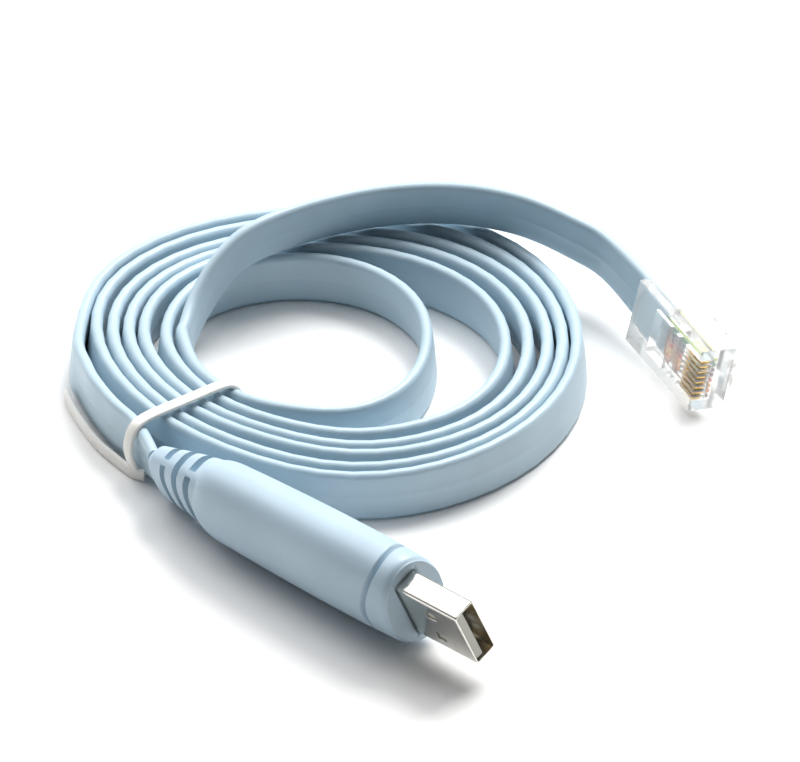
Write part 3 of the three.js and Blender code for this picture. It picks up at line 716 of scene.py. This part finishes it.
# Side views of the clear body and of its latch, as (along the axis, away from the contacts)
BODY_SIDE = [(0.0, -3.05), (0.0, 3.3), (-9.2, 3.3), (-10.2, 4.7), (-21.6, 4.7), (-21.6, -3.3),
             (-0.25, -3.3)]
LATCH_SIDE = [(0.0, 2.9), (0.0, 4.1), (-1.2, 4.75), (-15.2, 8.9), (-15.0, 7.9), (-2.6, 3.85),
              (-1.6, 2.9)]
BODY_HALF, LATCH_HALF, LATCH_NECK_HALF = 5.84, 3.0, 1.65
WIRE_PITCH, WIRE_RADIUS, SLOT_HALF_WIDTH, BLADE_HALF = 1.02, 0.33, 0.32, 0.18
# Hollows of the body: spans along its X, Y and Z
WIRES_ROOM = ((-13.2, -0.7), (-0.45, 0.45), (-4.1, 4.1))
RECESS = ((-15.3, -10.1), (-4.5, -1.7), (-4.1, 4.1))
RECESS_2 = ((-8.3, -7.2), (-4.5, -1.2), (-4.0, 4.0))
LEAD_ROOM_SPAN, LEAD_ROOM_GAP, LEAD_ROOM_ROUND = (-22.5, -13.0), 0.3, 1.14
# Spans along X and Y: the blades' slots, the trims beside the latch's neck, and the blades
SLOT_SPANS = ((-5.2, 1), (-4.5, -1.0))
TRIM_SPANS, TRIM_OUTER = ((-17, -8.6), (3.6, 12)), 6
BLADE_SPANS = ((-4.6, -0.25), (-2.95, -1.25))
WIRE_SPAN, WIRE_ANGLES = (-13.1, -0.85), range(0, 360, 24)
BODY_EDGE, LATCH_EDGE = 0.22, 0.15


def clear_solid(name, side, half):
    rings = [[Vector((x, y, z)) for x, y in side] for z in (-half, half)]
    return build(name, *tube(rings), clear, RJ, slot="clear")


def add_rj():
    body = clear_solid("clear_body", BODY_SIDE, BODY_HALF)
    places = [(i - 3.5) * WIRE_PITCH for i in range(8)]
    cutters = [block("slot", *SLOT_SPANS, around(z, SLOT_HALF_WIDTH), clear, RJ) for z in places]
    cutters.append(block("wires_room", *WIRES_ROOM, clear, RJ))
    room = rounded_outline(LEAD_THICK + LEAD_ROOM_GAP, LEAD_WIDTH + LEAD_ROOM_GAP, LEAD_ROOM_ROUND)
    room = [(y, z + LEAD_RISE) for y, z in room]
    cutters.append(prism("lead_room", room, *LEAD_ROOM_SPAN, clear, RJ))
    cutters.append(block("recess", *RECESS, clear, RJ))
    cutters.append(block("recess_2", *RECESS_2, clear, RJ))
    cut(body, cutters)
    latch = clear_solid("latch", LATCH_SIDE, LATCH_HALF)
    cut(latch, [block("trim", *TRIM_SPANS, (s * LATCH_NECK_HALF, s * TRIM_OUTER), clear, RJ)
                for s in (-1, 1)])
    for piece, width in ((body, BODY_EDGE), (latch, LATCH_EDGE)):
        bevel(piece, width, limit=40)
        flatten_normals(piece)
    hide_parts("rj45_body")
    pieces = [body, latch]
    for i, z in enumerate(places):
        contact = block(f"blade_{i + 1}", *BLADE_SPANS, around(z, BLADE_HALF), gold, RJ, CONTACT_EDGE, 2,
                        "gold")
        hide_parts(f"rj45_contact_{i + 1}")
        ring = [(WIRE_RADIUS * math.cos(math.radians(a)), WIRE_RADIUS * math.sin(math.radians(a)) + z)
                for a in WIRE_ANGLES]
        wire = prism(f"wire_{i + 1}", ring, *WIRE_SPAN, wire_looks[i], RJ, slot=f"wire_{i + 1}")
        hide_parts(f"conductor_{i + 1}")
        pieces += [contact, wire]
    return pieces


rj_pieces = add_rj()


# Floor and lights

FLOOR_HALF = 3


def add_floor():
    mesh = bpy.data.meshes.new("floor")
    corners = [(x * FLOOR_HALF, y * FLOOR_HALF, 0) for x, y in ((-1, -1), (1, -1), (1, 1), (-1, 1))]
    mesh.from_pydata(corners, [], [(0, 1, 2, 3)])
    material, principled = shader("floor", (0.9, 0.9, 0.9), 0.75)
    vary_color(material, principled, noise(material, 3.0, 2.0), (0.9, 0.9, 0.9), (0.92, 0.92, 0.92))
    mesh.materials.append(material)
    floor = bpy.data.objects.new("floor", mesh)
    bpy.context.scene.collection.objects.link(floor)


def add_area(name, place, target, size, power, color=(1, 1, 1)):
    data = bpy.data.lights.new(name, "AREA")
    data.shape = "DISK"
    data.size = size
    data.energy = power
    data.color = color
    lamp = bpy.data.objects.new(name, data)
    bpy.context.scene.collection.objects.link(lamp)
    lamp.location = place
    lamp.rotation_euler = (Vector(target) - Vector(place)).to_track_quat("-Z", "Y").to_euler()


def add_world():
    """A white room that is dark at the near side and a little darker low down."""
    world = bpy.data.worlds.new("studio")
    bpy.context.scene.world = world
    world.use_nodes = True
    tree = world.node_tree
    place = tree.nodes.new("ShaderNodeTexCoord")
    split = tree.nodes.new("ShaderNodeSeparateXYZ")
    tree.links.new(place.outputs["Generated"], split.inputs["Vector"])
    front = map_range(tree, split.outputs["Y"], (-0.6, 0.6), (0.0, 1.0))
    high = map_range(tree, split.outputs["Z"], (0.0, 1.0), (0.6, 1.0))
    both = tree.nodes.new("ShaderNodeMath")
    both.operation = "MULTIPLY"
    tree.links.new(front, both.inputs[0])
    tree.links.new(high, both.inputs[1])
    background = tree.nodes["Background"]
    tree.links.new(both.outputs["Value"], background.inputs["Strength"])
    background.inputs["Color"].default_value = (1.0, 1.0, 1.0, 1.0)


add_floor()
add_world()
add_area("key", (0.24, 0.50, 0.72), (0, 0, 0), 0.5, 9.0, (1.0, 0.99, 0.97))
add_area("fill", (-0.42, 0.42, 0.70), (0, 0, 0), 0.6, 3.0)
add_area("overhead", (0.05, 0.22, 0.88), (0, 0.05, 0), 0.5, 1.2)
bpy.context.scene.view_settings.view_transform = "Standard"
